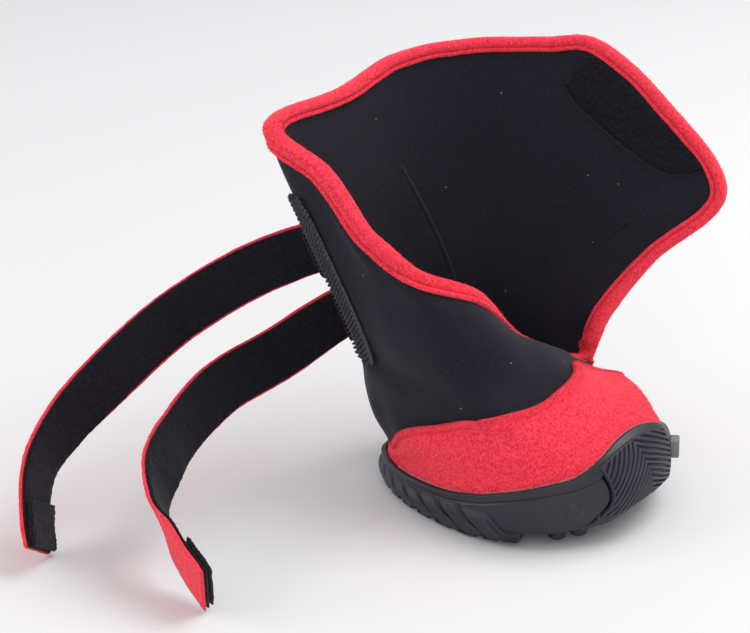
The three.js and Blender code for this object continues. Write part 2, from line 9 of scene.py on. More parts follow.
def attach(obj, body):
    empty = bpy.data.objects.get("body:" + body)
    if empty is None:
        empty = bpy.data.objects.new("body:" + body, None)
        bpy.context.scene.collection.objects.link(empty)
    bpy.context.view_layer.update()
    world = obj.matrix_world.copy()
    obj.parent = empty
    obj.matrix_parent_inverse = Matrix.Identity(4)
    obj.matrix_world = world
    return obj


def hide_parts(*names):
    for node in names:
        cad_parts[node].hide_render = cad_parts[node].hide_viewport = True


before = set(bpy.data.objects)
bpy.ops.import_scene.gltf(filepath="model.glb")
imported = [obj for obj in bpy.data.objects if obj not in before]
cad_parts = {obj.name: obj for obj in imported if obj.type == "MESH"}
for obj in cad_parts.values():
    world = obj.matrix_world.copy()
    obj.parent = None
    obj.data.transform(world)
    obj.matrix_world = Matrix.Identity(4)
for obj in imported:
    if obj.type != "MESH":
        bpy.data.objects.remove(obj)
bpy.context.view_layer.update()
for cadNode in list(bpy.context.selected_objects):
    cadNode.select_set(False)
mm = 0.001
nodeObjects = {each.name: each for each in bpy.data.objects if each.type == "MESH"}
print("frame loaded:", len(nodeObjects), "nodes")

# camera, floor and lights
studio = {
    "camera": (307.8, -490.5, 306.5), "aim": (-51.95, -3.72, 45.8), "roll": -1.87, "lens": 102.96,
    "floor": 9.0, "floorColour": (0.74, 0.74, 0.742), "floorRoughness": 0.75,
    "worldColour": (0.97, 0.975, 1.0), "worldStrength": 0.66,
    "lights": [
        {"name": "keySoftbox", "place": (360, 430, 880), "aim": (-20, 0, 40), "size": 0.7, "power": 7.4},
        {"name": "frontFill", "place": (700, -900, 620), "aim": (0, 0, 50), "size": 1.1, "power": 3.2},
        {"name": "leftFill", "place": (-900, -700, 480), "aim": (-20, 0, 50), "size": 0.9, "power": 5},
    ],
}


def aimedAt(place, aim, roll=0.0):
    turned = (Vector(aim) - Vector(place)).to_track_quat("-Z", "Y")
    return (turned @ Quaternion((0, 0, 1), math.radians(roll))).to_euler()


bpy.ops.object.camera_add(location=Vector(studio["camera"]) * mm,
                          rotation=aimedAt(studio["camera"], studio["aim"], studio["roll"]))
camera = bpy.context.object
camera.name = "studioCamera"
camera.data.lens = studio["lens"]
camera.data.sensor_width = 36
camera.data.clip_start = 0.01
camera.data.clip_end = 30
bpy.context.scene.camera = camera
bpy.ops.mesh.primitive_plane_add(size=studio["floor"], location=(0, 0, -0.0001))
floor = bpy.context.object
floor.name = "studioFloor"
for lamp in studio["lights"]:
    bpy.ops.object.light_add(type="AREA", location=Vector(lamp["place"]) * mm,
                             rotation=aimedAt(lamp["place"], lamp["aim"]))
    light = bpy.context.object
    light.name = lamp["name"]
    light.data.size = lamp["size"]
    light.data.energy = lamp["power"]
world = bpy.context.scene.world or bpy.data.worlds.new("studioWorld")
bpy.context.scene.world = world
world.use_nodes = True
backdrop = world.node_tree.nodes["Background"]
backdrop.inputs["Color"].default_value = (*studio["worldColour"], 1)
backdrop.inputs["Strength"].default_value = studio["worldStrength"]
bpy.context.scene.view_settings.view_transform = "Standard"
print("camera, floor and lights placed")

# sizes of the boot's own form, in millimetres: the last's rings, the folds of the shaft and its lines
outsole = {
    "wall": 2, "floor": 6, "base": 2.6, "toeSpring": 4.6, "springFrom": -3, "springTo": 42, "padProud": 0.9,
    "columns": 192, "smooth": 2,
}
middleX = 6  # where the foot is widest, ahead of the origin
footRings = [  # up, back, front, half width at the ball, half width at the heel, squareness
    (6.3, -42.6, 38.3, 31.0, 28.5, 2.15),
    (14, -44.5, 38.6, 31.6, 29.5, 2.15),
    (22, -49.2, 36.4, 31.2, 31.2, 2.25),
    (29.5, -53, 30.4, 28.4, 31.4, 2.25),
]
shaftFolds = [  # turn round the foot, place at the ankle, place on the way or None, place on the free edge
    (86, (6, 28.6, 31), (5.6, 28.3, 32.9), (4.9, 27.4, 34.8)),
    (58, (11.2, 21, 32.6), (6.3, 21, 36), (-1, 20, 35.6)),
    (32, (13.2, 11.2, 37), (5.5, 12.5, 41.8), (-5, 13.5, 39.8)),
    (-4, (12.5, -2, 44.5), (2.5, 2, 48.4), (-8.5, 6.5, 46)),
    (-38, (8.5, -17, 44.5), (1.6, -16.3, 56), (-9, -13, 66.5)),
    (-70, (-4, -27, 45), (-11, -27.8, 60.4), (-19, -26.5, 75)),
    (-102, (-19.5, -28.6, 46), None, (-32, -31, 84)),
    (-128, (-34, -26, 47), None, (-47, -34.9, 103.2)),
    (-148, (-45.4, -22.9, 48), (-54.3, -30.6, 80), (-63.3, -36.8, 112.4)),
    (-164, (-49.8, -13, 49), None, (-67, -29.5, 114.6)),
    (-182, (-51, 0, 50), None, (-64, -2, 115.5)),
    (-201, (-46, 14, 50), None, (-59.5, 20, 121)),
    (-216, (-37, 24.5, 51), None, (-46, 40, 122.6)),
    (-227, (-28.5, 30, 51), None, (-25, 53, 122.9)),
    (-235, (-21.5, 33, 51), (-15, 46, 86), (-11, 58, 123.3)),
    (-242, (-15.5, 34.3, 51), (-1, 48.5, 82), (13.2, 60, 106.5)),
    (-248, (-10, 34.5, 50), (13, 49, 76), (34, 57.5, 83)),
    (-255, (-5, 34, 46.5), (4, 42.5, 66), (17, 46, 62.5)),
    (-263, (0, 31.8, 38), (0, 34, 46), (8.8, 33.4, 46.5)),
]
rimLine = [  # turn round the foot, height of the sole's rim
    (-180, 9.5), (-150, 9.3), (-134, 10), (-114, 11.5), (-100, 12.8), (-80, 17), (-58, 20.5), (-43, 22),
    (-28, 24.5), (-14, 26.5), (0, 27), (14, 25.5), (24, 23.2), (38, 20.5), (62, 17), (90, 13.4), (120, 11),
    (150, 9.3), (180, 9.5),
]
panelLine = [  # turn round the foot, height of the toe panel's top edge
    (-152, 11.5), (-134, 17.5), (-120, 24.5), (-106, 29.5), (-92, 34), (-68, 36.5), (-37, 38.5), (-19, 40.5),
    (0, 41.8), (14, 41.6), (26, 39.6), (42, 36.2), (62, 31.2), (85, 27.6), (110, 25), (135, 17.5),
    (152, 11.5),
]
wallThickness = 3.0
foldCount = len(shaftFolds)


def mix(a, b, f):
    return a + (b - a) * f


def ease(a, b, x):
    f = min(max((x - a) / (b - a), 0.0), 1.0)
    return f * f * (3 - 2 * f)


def bumpAt(distance, width):  # a soft ridge, one at its middle and nothing past its width
    f = min(abs(distance) / width, 1.0)
    return (1 - f * f) ** 2


def foldTurn(turn):
    return (turn + 180) % 360 - 180


def lineAt(rows, turn):
    t = foldTurn(turn)
    k = 0
    while k < len(rows) - 2 and t > rows[k + 1][0]:
        k += 1
    span = rows[k + 1][0] - rows[k][0]
    f = min(max((t - rows[k][0]) / span, 0.0), 1.0)

    def slope(n):
        a, b = rows[max(n - 1, 0)], rows[min(n + 1, len(rows) - 1)]
        return (b[1] - a[1]) / (b[0] - a[0]) * span

    f2, f3 = f * f, f * f * f
    return (rows[k][1] * (2 * f3 - 3 * f2 + 1) + slope(k) * (f3 - 2 * f2 + f)
            + rows[k + 1][1] * (3 * f2 - 2 * f3) + slope(k + 1) * (f3 - f2))


def curvePieces(points, closed=False):  # a smooth curve through points, as one cubic for each span
    count = len(points)
    spans = []
    for k in range(count if closed else count - 1):
        if closed:
            p0, p1, p2, p3 = (points[(k + n) % count] for n in (-1, 0, 1, 2))
        else:
            p1, p2 = points[k], points[k + 1]
            p0 = points[k - 1] if k > 0 else p1 * 2 - p2
            p3 = points[k + 2] if k + 2 < count else p2 * 2 - p1
        d0, d1, d2 = ((b - a).length ** 0.5 for a, b in ((p0, p1), (p1, p2), (p2, p3)))
        d1 = d1 if d1 > 1e-4 else 1.0
        d0 = d0 if d0 > 1e-4 else d1
        d2 = d2 if d2 > 1e-4 else d1
        m1 = ((p1 - p0) / d0 - (p2 - p0) / (d0 + d1) + (p2 - p1) / d1) * d1
        m2 = ((p2 - p1) / d1 - (p3 - p1) / (d1 + d2) + (p3 - p2) / d2) * d1
        spans.append((p1, m1, (p2 - p1) * 3 - m1 * 2 - m2, (p1 - p2) * 2 + m1 + m2))
    return spans


def onCurve(spans, t, closed=False):
    s = (t % 1.0 if closed else min(max(t, 0.0), 1.0)) * len(spans)
    k = min(int(s), len(spans) - 1)
    a, b, c, d = spans[k]
    f = s - k
    return a + (b + (c + d * f) * f) * f


ankleLoop = curvePieces([Vector(row[1]) for row in shaftFolds], True)
viaLoop = curvePieces([Vector(row[2]) if row[2] else (Vector(row[1]) + Vector(row[3])) / 2
                       for row in shaftFolds], True)
edgeLoop = curvePieces([Vector(row[3]) for row in shaftFolds], True)


def springAt(x):  # how far the sole rises towards the toe
    f = min(max((x - outsole["springFrom"]) / (outsole["springTo"] - outsole["springFrom"]), 0.0), 1.0)
    return outsole["toeSpring"] * f * f * (3 - 2 * f)


def turnAt(u):  # the turn round the foot of a place on the map
    s = u * foldCount
    k = math.floor(s)
    t = s - k
    a, b, c, d = (shaftFolds[n % foldCount][0] - 360 * math.floor(n / foldCount)
                  for n in (k - 1, k, k + 1, k + 2))
    bend, twist = 2 * a - 5 * b + 4 * c - d, 3 * b - a - 3 * c + d
    return 0.5 * (2 * b + (c - a) * t + bend * t * t + twist * t ** 3)


def uAt(turn):
    low, high = -0.5, 1.5
    for n in range(36):
        half = (low + high) / 2
        if turnAt(half) > turn:
            low = half
        else:
            high = half
    return low


def ringPoint(ring, turn):
    up, back, front, half, heel, square = ring
    c, s = math.cos(math.radians(turn)), math.sin(math.radians(turn))
    power = 2 / square
    reach = front - middleX if c > 0 else middleX - back
    x = middleX + reach * math.copysign(abs(c) ** power, c)
    y = mix(half, heel, max(0.0, -c)) * math.copysign(abs(s) ** power, s)
    return Vector((x, y, up + springAt(x) * (1 - up / 36)))


def inwardAt(u):  # square to the free edge, down into the shaft's wall
    along = onCurve(edgeLoop, u + 1e-4, True) - onCurve(edgeLoop, u - 1e-4, True)
    along.normalize()
    inward = onCurve(viaLoop, u, True) - onCurve(edgeLoop, u, True)
    return (inward - along * inward.dot(along)).normalized()


def hemAt(u):  # how deep the straight hem behind the free edge is
    return min(5.0, 0.55 * (onCurve(viaLoop, u, True) - onCurve(edgeLoop, u, True)).length)


meridians = {}


def meridian(u):  # the curve up the boot's wall from the sole to the free edge
    key = round(u, 6)
    if key not in meridians:
        turn = turnAt(u)
        edge = onCurve(edgeLoop, u, True)
        points = [ringPoint(ring, turn) for ring in footRings]
        points += [onCurve(ankleLoop, u, True), onCurve(viaLoop, u, True)]
        points += [edge + inwardAt(u) * hemAt(u), edge]
        meridians[key] = curvePieces(points)
    return meridians[key]


def surface(u, v):  # u runs round the boot, v from the sole up to the free edge
    return onCurve(meridian(u), v)


def normalAt(u, v):
    around = surface(u + 1e-3, v) - surface(u - 1e-3, v)
    up = surface(u, min(v + 1e-3, 1)) - surface(u, max(v - 1e-3, 0))
    return up.cross(around).normalized()


def skin(u, v, off=0.0):  # a point of the boot's skin, off millimetres outside it
    return surface(u, v) + normalAt(u, v) * off


def vAtHeight(u, z):
    low, high = 0.0, 1.0
    for n in range(26):
        half = (low + high) / 2
        if surface(u, half).z < z:
            low = half
        else:
            high = half
    return low


def nearest(target, u, v):  # the place on the skin nearest to a point
    e = 1e-4
    for n in range(12):
        here = surface(u, v)
        perU = (surface(u + e, v) - here) / e
        perV = (here - surface(u, v - e)) / e
        miss = target - here
        a, b, c = perU.dot(perU), perU.dot(perV), perV.dot(perV)
        d, f = perU.dot(miss), perV.dot(miss)
        det = a * c - b * b
        stepU = min(max((d * c - b * f) / det, -0.02), 0.02)
        stepV = (a * f - b * d) / det
        u, v = u + stepU, min(max(v + stepV, 0.3), 1.0)
        if abs(stepU) + abs(stepV) < 1e-5:
            break
    return u, v


# hand tools: pick, drape a grid over the boot, press a relief into it
def pickOnly(piece):
    bpy.ops.object.select_all(action="DESELECT")
    piece.select_set(True)
    bpy.context.view_layer.objects.active = piece


def applied(piece, kind, **values):
    pickOnly(piece)
    modifier = piece.modifiers.new(kind.lower(), kind)
    for key, value in values.items():
        setattr(modifier, key, value)
    bpy.ops.object.modifier_apply(modifier=modifier.name)


def drape(name, columns, rows, place, closed=False, smooth=0, turnOver=False, fillEnds=False):
    bpy.ops.mesh.primitive_grid_add(x_subdivisions=columns, y_subdivisions=rows, size=1, location=(0, 0, 0))
    piece = bpy.context.object
    piece.name = name
    for vert in piece.data.vertices:
        vert.co = place(vert.co.x + 0.5, vert.co.y + 0.5) * mm
    bpy.ops.object.mode_set(mode="EDIT")
    bpy.ops.mesh.select_all(action="SELECT")
    if closed:
        bpy.ops.mesh.remove_doubles(threshold=2e-6)
    if turnOver:
        bpy.ops.mesh.flip_normals()
    bpy.ops.object.mode_set(mode="OBJECT")
    if smooth:
        applied(piece, "SUBSURF", levels=smooth, render_levels=smooth)
    if fillEnds:
        bpy.ops.object.mode_set(mode="EDIT")
        bpy.ops.mesh.select_all(action="DESELECT")
        bpy.ops.mesh.select_non_manifold()
        bpy.ops.mesh.edge_face_add()
        bpy.ops.object.mode_set(mode="OBJECT")
    bpy.ops.object.shade_smooth()
    return piece


def mapOf(piece):  # each vertex's place on the piece's own map
    layer = piece.data.uv_layers.active.data
    found = [None] * len(piece.data.vertices)
    for loop in piece.data.loops:
        if found[loop.vertex_index] is None:
            found[loop.vertex_index] = tuple(layer[loop.index].uv)
    return found


def press(piece, relief):  # moves each vertex along its normal by the relief in millimetres
    where = mapOf(piece)
    normals = [vert.normal.copy() for vert in piece.data.vertices]
    for vert, normal, place in zip(piece.data.vertices, normals, where):
        if place is not None:
            vert.co += normal * relief(place[0], place[1], vert.co / mm, normal) * mm
    piece.data.update()


def fuzz(point, size, seed=0.0):  # soft noise between -1 and 1 at a size in millimetres
    return noise.noise(point / size + Vector((seed, seed * 1.7, -seed)))


def finished(piece, material, replaced=()):
    piece.data.materials.clear()
    piece.data.materials.append(material)
    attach(piece, "root")
    if replaced:
        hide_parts(*replaced)
    pickOnly(piece)
    bpy.ops.object.shade_smooth()
    print("made", piece.name, len(piece.data.polygons), "faces")
    return piece


# materials
def material(name):
    made = bpy.data.materials.new(name)
    made.use_nodes = True
    return made, made.node_tree.nodes, made.node_tree.links


def shader(nodes):
    return next(node for node in nodes if node.type == "BSDF_PRINCIPLED")


def place(nodes, kind, **values):
    node = nodes.new(kind)
    for key, value in values.items():
        if hasattr(node, key):
            setattr(node, key, value)
        else:
            node.inputs[key.replace("_", " ")].default_value = value
    return node


def grainGroup():  # two sizes of grain over the surface, as a mask and a height
    group = bpy.data.node_groups.new("clothGrain", "ShaderNodeTree")
    face = group.interface
    for name, value in (("fineSize", 2500.0), ("coarseSize", 400.0), ("coarseShare", 0.4)):
        face.new_socket(name=name, in_out="INPUT", socket_type="NodeSocketFloat").default_value = value
    face.new_socket(name="mask", in_out="OUTPUT", socket_type="NodeSocketFloat")
    nodes, links = group.nodes, group.links
    start, end = nodes.new("NodeGroupInput"), nodes.new("NodeGroupOutput")
    where = nodes.new("ShaderNodeTexCoord")
    fine = place(nodes, "ShaderNodeTexNoise", Detail=3.0, Roughness=0.65)
    coarse = place(nodes, "ShaderNodeTexNoise", Detail=2.0, Roughness=0.5)
    blend = place(nodes, "ShaderNodeMix", data_type="FLOAT")
    links.new(where.outputs["Object"], fine.inputs["Vector"])
    links.new(where.outputs["Object"], coarse.inputs["Vector"])
    links.new(start.outputs["fineSize"], fine.inputs["Scale"])
    links.new(start.outputs["coarseSize"], coarse.inputs["Scale"])
    links.new(start.outputs["coarseShare"], blend.inputs[0])
    links.new(fine.outputs["Fac"], blend.inputs[2])
    links.new(coarse.outputs["Fac"], blend.inputs[3])
    links.new(blend.outputs[0], end.inputs["mask"])
    return group


clothGrain = grainGroup()


def cloth(name, look):
    made, nodes, links = material(name)
    skinShader = shader(nodes)
    grain = nodes.new("ShaderNodeGroup")
    grain.node_tree = clothGrain
    for key in ("fineSize", "coarseSize", "coarseShare"):
        grain.inputs[key].default_value = look[key]
    ramp = nodes.new("ShaderNodeValToRGB")
    low, high = ramp.color_ramp.elements
    low.position, high.position = look.get("spread", (0.3, 0.7))
    low.color, high.color = (*look["dark"], 1), (*look["light"], 1)
    bump = place(nodes, "ShaderNodeBump", Strength=look["bump"], Distance=look["depth"] * mm)
    links.new(grain.outputs["mask"], ramp.inputs["Fac"])
    links.new(grain.outputs["mask"], bump.inputs["Height"])
    links.new(ramp.outputs["Color"], skinShader.inputs["Base Color"])
    links.new(bump.outputs["Normal"], skinShader.inputs["Normal"])
    skinShader.inputs["Roughness"].default_value = look["roughness"]
    skinShader.inputs["Specular IOR Level"].default_value = look.get("gloss", 0.3)
    skinShader.inputs["Sheen Weight"].default_value = look.get("sheen", 0.0)
    skinShader.inputs["Sheen Roughness"].default_value = 0.5
    skinShader.inputs["Sheen Tint"].default_value = (*look.get("sheenTint", (1, 1, 1)), 1)
    if "specks" in look:  # a few pale specks of lint
        where = nodes.new("ShaderNodeTexCoord")
        cells = place(nodes, "ShaderNodeTexVoronoi", Scale=look["specks"]["spacing"])
        dots = place(nodes, "ShaderNodeMath", operation="LESS_THAN")
        dots.inputs[1].default_value = look["specks"]["size"]
        tint = place(nodes, "ShaderNodeMix", data_type="RGBA")
        tint.inputs[7].default_value = (*look["specks"]["colour"], 1)
        links.new(where.outputs["Object"], cells.inputs["Vector"])
        links.new(cells.outputs["Distance"], dots.inputs[0])
        links.new(dots.outputs["Value"], tint.inputs[0])
        links.new(ramp.outputs["Color"], tint.inputs[6])
        links.new(tint.outputs[2], skinShader.inputs["Base Color"])
    return made


foamFabric = cloth("foamFabric", {
    "fineSize": 2500, "coarseSize": 900, "coarseShare": 0.15, "dark": (0.0034, 0.003, 0.0057),
    "light": (0.0145, 0.013, 0.023), "spread": (0.34, 0.66), "bump": 0.6, "depth": 0.2, "roughness": 0.86,
    "gloss": 0.22, "sheen": 0.12, "sheenTint": (0.75, 0.78, 0.9),
    "specks": {"spacing": 150, "size": 0.034, "colour": (0.2, 0.2, 0.22)},
})
linedFoam = cloth("linedFoam", {
    "fineSize": 2600, "coarseSize": 520, "coarseShare": 0.35, "dark": (0.0038, 0.0034, 0.006),
    "light": (0.0145, 0.013, 0.022), "bump": 0.5, "depth": 0.2, "roughness": 0.9, "gloss": 0.2, "sheen": 0.1,
})
redFleece = cloth("redFleece", {
    "fineSize": 2100, "coarseSize": 1050, "coarseShare": 0.35, "dark": (0.62, 0.011, 0.03),
    "light": (1.0, 0.065, 0.105), "spread": (0.33, 0.62), "bump": 0.9, "depth": 0.45, "roughness": 0.95,
    "gloss": 0.1, "sheen": 0.25, "sheenTint": (1, 0.45, 0.45),
})
redFibre = cloth("redFibre", {
    "fineSize": 900, "coarseSize": 300, "coarseShare": 0.5, "dark": (0.7, 0.02, 0.04),
    "light": (0.95, 0.09, 0.12), "bump": 0.2, "depth": 0.1, "roughness": 0.95, "gloss": 0.1,
})
paleFibre = cloth("paleFibre", {
    "fineSize": 900, "coarseSize": 300, "coarseShare": 0.5, "dark": (0.75, 0.3, 0.3),
    "light": (0.9, 0.72, 0.7), "bump": 0.2, "depth": 0.1, "roughness": 0.95, "gloss": 0.1,
})
blackPile = cloth("blackPile", {
    "fineSize": 2000, "coarseSize": 950, "coarseShare": 0.4, "dark": (0.002, 0.0018, 0.003),
    "light": (0.015, 0.0135, 0.019), "bump": 1.0, "depth": 0.4, "roughness": 0.95, "gloss": 0.1,
    "sheen": 0.12, "sheenTint": (0.8, 0.8, 0.9),
})
hookWeave = cloth("hookWeave", {
    "fineSize": 2300, "coarseSize": 800, "coarseShare": 0.4, "dark": (0.014, 0.015, 0.02),
    "light": (0.085, 0.09, 0.11), "bump": 0.6, "depth": 0.2, "roughness": 0.6, "gloss": 0.35,
})
blueRubber = cloth("blueRubber", {
    "fineSize": 1500, "coarseSize": 160, "coarseShare": 0.55, "dark": (0.005, 0.0045, 0.0095),
    "light": (0.0145, 0.013, 0.027), "bump": 0.25, "depth": 0.08, "roughness": 0.42, "gloss": 0.5,
})
# the toe pad's rubber is the sole's rubber painted about twice as light: painted light for the light the pad
# catches from the right front
padRubberPaintedLight = cloth("padRubberPaintedLight", {
    "fineSize": 1500, "coarseSize": 160, "coarseShare": 0.55, "dark": (0.0105, 0.0095, 0.017),
    "light": (0.031, 0.0285, 0.05), "bump": 0.25, "depth": 0.08, "roughness": 0.42, "gloss": 0.5,
})
# the lug's rubber painted pale grey-green, far lighter than the sole: painted highlight for the backdrop's
# light on its side
lugRubberPaintedRimLight = cloth("lugRubberPaintedRimLight", {
    "fineSize": 1500, "coarseSize": 200, "coarseShare": 0.5, "dark": (0.15, 0.165, 0.145),
    "light": (0.21, 0.225, 0.2), "bump": 0.25, "depth": 0.08, "roughness": 0.6, "gloss": 0.4,
})
bedFoam = cloth("bedFoam", {
    "fineSize": 2200, "coarseSize": 400, "coarseShare": 0.4, "dark": (0.01, 0.01, 0.012),
    "light": (0.03, 0.03, 0.035), "bump": 0.5, "depth": 0.2, "roughness": 0.9, "gloss": 0.2,
})
print("materials made")

floorPaint, floorNodes = material("floorPaint")[:2]
floorShader = shader(floorNodes)
floorShader.inputs["Base Color"].default_value = (*studio["floorColour"], 1)
floorShader.inputs["Roughness"].default_value = studio["floorRoughness"]
floor.data.materials.append(floorPaint)

# outsole: one cup with its fins, toe pad and lines pressed in, then the round studs
fins = {
    "perSide": 9, "from": -92, "pitch": 9.4, "width": 4.9, "firstWidth": 1.2, "proud": 1.9, "foot": 2.45,
    "top": 10.6, "lean": 17, "under": 9.5, "side": 66, "scale": 0.7,
}
toePad = {
    "columns": 252, "rows": 160, "back": -26.8, "front": 18, "band": 1.55, "proud": 0.55, "spacing": 1.42,
    "depth": 0.75, "width": 0.34, "apexTop": 25.3, "apexTurn": -7, "apexLean": 0.47, "frontSlope": 0.29,
    "backSlope": 0.47, "thickness": 0.9,
}
sideLine = {"below": 2.8, "depth": 0.5, "width": 0.6}
lobeGroove = {"turn": -25.6, "curl": 3.0, "tail": 9.0, "middle": 15.5, "half": 7, "width": 1.5, "depth": 1.7}
boss = {"turn": -45, "up": 8.5, "proud": 0.6, "from": 2.2, "to": 3.2}


def lobeTurn(z):  # where the groove behind the toe pad runs
    gap = z - lobeGroove["middle"]
    curl = lobeGroove["curl"] if gap > 0 else lobeGroove["tail"]
    return lobeGroove["turn"] - curl * (gap / lobeGroove["half"]) ** 2


def panelRoom(turn):  # room between the skin and the sole for the toe panel
    return mix(0.8, 2.55, 1 - ease(155, 164, abs(foldTurn(turn))))


def padMask(turn):  # one where the sole stands out behind the ribbed toe pad
    return 1 - ease(30, 36, abs(foldTurn(turn) - 6))


def soleEdge(turn, off, up):  # a place round the sole's outline
    u = uAt(turn)
    flat = normalAt(u, 0)
    flat.z = 0
    return surface(u, 0) + flat.normalized() * (panelRoom(turn) + off) + Vector((0, 0, up - 6.3))


def cupLift(turn):  # how high the cup's lower corner turns up round the toe
    side = abs(foldTurn(turn))
    return 4.2 + mix(0.9, 3.2, 1 - ease(6, 30, side)) * (1 - ease(40, 75, side))


def cupPlace():
    wall, base = outsole["wall"], outsole["base"]
    marks = [  # how the rows are spread over the profile's corners
        0, 1, 2, 2.5, 3, 3.35, 3.7, 4, 4.35, 4.7, 5, 5.35, 5.7, 6, 6.35, 6.7, 7, 7.35, 7.7, 8, 8.3, 8.6, 9,
        10, 10.5, 11, 12, 13,
    ]
    columns = {}

    def profile(s):
        key = round(s * outsole["columns"]) % outsole["columns"]
        if key in columns:
            return columns[key]
        turn = 62 - 360 * key / outsole["columns"]
        u = uAt(turn)
        top = vAtHeight(u, lineAt(rimLine, turn))
        pad = outsole["padProud"] * padMask(turn)
        room = panelRoom(turn)
        lift = cupLift(turn)
        inner = soleEdge(turn, -14, base)
        centre = Vector((inner.x * 0.04, inner.y * 0.04, base + 0.1))
        half = Vector((inner.x * 0.55, inner.y * 0.55, base + 0.82 * springAt(inner.x * 0.55)))
        bed = soleEdge(turn, 0, outsole["floor"])
        columns[key] = [  # from the middle of the underside, up the outside, over the rim and down to the bed
            centre, half, inner, soleEdge(turn, wall - 3.6, base),
            soleEdge(turn, wall - 0.7, max(base + 0.1, lift - 2.2)), soleEdge(turn, wall + pad, lift + 0.6),
            skin(u, top * 0.42, room + wall + pad), skin(u, top * 0.7, room + wall + pad),
            skin(u, top * 0.88, room + wall + 0.4 * pad), skin(u, top, room + wall - 0.3),
            skin(u, top, room + 0.35), skin(u, top * 0.75, room + 0.1), bed,
            Vector((bed.x * 0.04, bed.y * 0.04, outsole["floor"])),
        ]
        return columns[key]

    def at(s, t):
        place = marks[round(t * (len(marks) - 1))]
        corners = profile(s)
        k = min(int(place), len(corners) - 2)
        return corners[k].lerp(corners[k + 1], place - k)

    return at, len(marks) - 1


def finMask(turn, z):  # one on a fin, nothing in the grooves between and above the fins
    side = abs(foldTurn(turn))
    top = min(fins["top"], lineAt(rimLine, turn) - 2.3)
    drop = 1 - min(max(z, 0), top) / top
    best = 0.0
    for n in range(fins["perSide"]):
        middle = abs(fins["from"] - n * fins["pitch"] + fins["lean"] * drop ** 1.3)
        wide = fins["width"] * (fins["firstWidth"] if n == 0 else 1.0)
        f = abs(side - middle) * fins["scale"] / (wide / 2)
        best = max(best, 1 - ease(0.86, 1.16, f))
    return best * (1 - ease(top - 4.0, top + 0.4, z)) ** 0.8


def soleRelief(s, t, point, normal):
    if not 0.08 < t < 0.84:
        return 0.0
    side = foldTurn(62 - 360 * s)
    z = point.z
    below = lineAt(rimLine, side) - z
    relief = 0.0
    if abs(side) > fins["side"]:
        if normal.z > -0.7:
            relief += fins["proud"] * finMask(side, z)
        elif soleDepth(point) < fins["under"]:
            relief += fins["foot"] * finMask(side, 0)
    if t < 0.3:
        return relief
    fromGroove = (side - lobeTurn(z)) * 0.66
    fromFarGroove = (12 - lobeTurn(z) - side) * 0.66 - 4
    onPad = fromGroove > 0 and fromFarGroove > 0
    if not onPad:
        relief -= sideLine["depth"] * bumpAt(below - sideLine["below"], sideLine["width"])
    for gap in (fromGroove, fromFarGroove):
        relief -= lobeGroove["depth"] * bumpAt(gap, lobeGroove["width"]) * ease(1.6, 2.8, below)
    if not onPad and -62 < side < -30:
        fromBoss = math.hypot((side - boss["turn"]) * 0.62, z - springAt(point.x) - boss["up"])
        relief += boss["proud"] * (1 - ease(boss["from"], boss["to"], fromBoss))
    return relief


edgeRing = [soleEdge(turn, 2, 0).to_2d() for turn in range(-180, 180, 4)]


def soleDepth(point):  # how far in from the sole's edge
    flat = point.to_2d()
    return min((each - flat).length for each in edgeRing)


cupAt, cupRows = cupPlace()
cup = drape("outsoleCup", outsole["columns"], cupRows, cupAt, closed=True, smooth=outsole["smooth"],
            turnOver=True, fillEnds=True)
press(cup, soleRelief)
finished(cup, blueRubber, ["outsole"])


def padSpot(s, t):  # height and turn on the toe pad
    turn = mix(toePad["back"], toePad["front"], s)
    z = mix(soleEdge(turn, 0, cupLift(turn) + 0.7).z, lineAt(rimLine, turn) - toePad["band"], t)
    wide = (turn - toePad["front"]) / (toePad["back"] - toePad["front"])
    return turn + wide * (lobeTurn(z) - lobeGroove["turn"]), z


def padPlace(s, t):
    turn, z = padSpot(s, t)
    u = uAt(turn)
    top = vAtHeight(u, lineAt(rimLine, turn))
    v = vAtHeight(u, z)
    pad = outsole["padProud"] * padMask(turn) * mix(1, 0.4, ease(0.7, 0.9, v / top))
    edge = min(s, 1 - s, t, 1 - t)
    relief = toePad["proud"] * ease(-0.004, 0.02, edge) - 0.5 * (1 - ease(0, 0.012, edge))
    along = (turn - toePad["apexTurn"] - (toePad["apexTop"] - z) * toePad["apexLean"])
    h = toePad["apexTop"] - z
    start = h - toePad["frontSlope"] * along if along > 0 else h + toePad["backSlope"] * along
    cycle = (start / toePad["spacing"]) % 1.0
    near = min(cycle, 1 - cycle) * toePad["spacing"]
    relief -= toePad["depth"] * bumpAt(near, toePad["width"] * 1.4) * ease(0.02, 0.035, edge)
    return skin(u, v, panelRoom(turn) + outsole["wall"] + pad + relief)


# the ribs wear the lighter rubber, a painted highlight on the toe pad
ribs = drape("toePadRibs", toePad["columns"], toePad["rows"], padPlace)
applied(ribs, "SOLIDIFY", thickness=toePad["thickness"] * mm, offset=-1)
finished(ribs, padRubberPaintedLight)

stud = {
    "radius": 2.5, "below": 1.2, "top": 4.8, "facets": 28, "round": 0.45,
    "places": ((-52.5, 3.4), (-40, 3.4), (40, 3.4), (52.5, 3.4), (-36, 13), (-12, 11), (12, 11), (36, 13)),
}  # places are the turn round the foot and how far in from the sole's edge
restLug = {"top": 4.4, "places": ((0, 7), (-16, 5), (-31, 5))}  # how far forward, radius


def roundStud(name, x, y, radius, low, high):
    bpy.ops.mesh.primitive_cylinder_add(vertices=stud["facets"], radius=radius * mm, depth=(high - low) * mm,
                                        location=(x * mm, y * mm, (low + high) / 2 * mm))
    made = bpy.context.object
    made.name = name
    bpy.ops.object.transform_apply(location=True, rotation=True, scale=True)
    applied(made, "BEVEL", width=stud["round"] * mm, segments=3, limit_method="ANGLE")
    return made


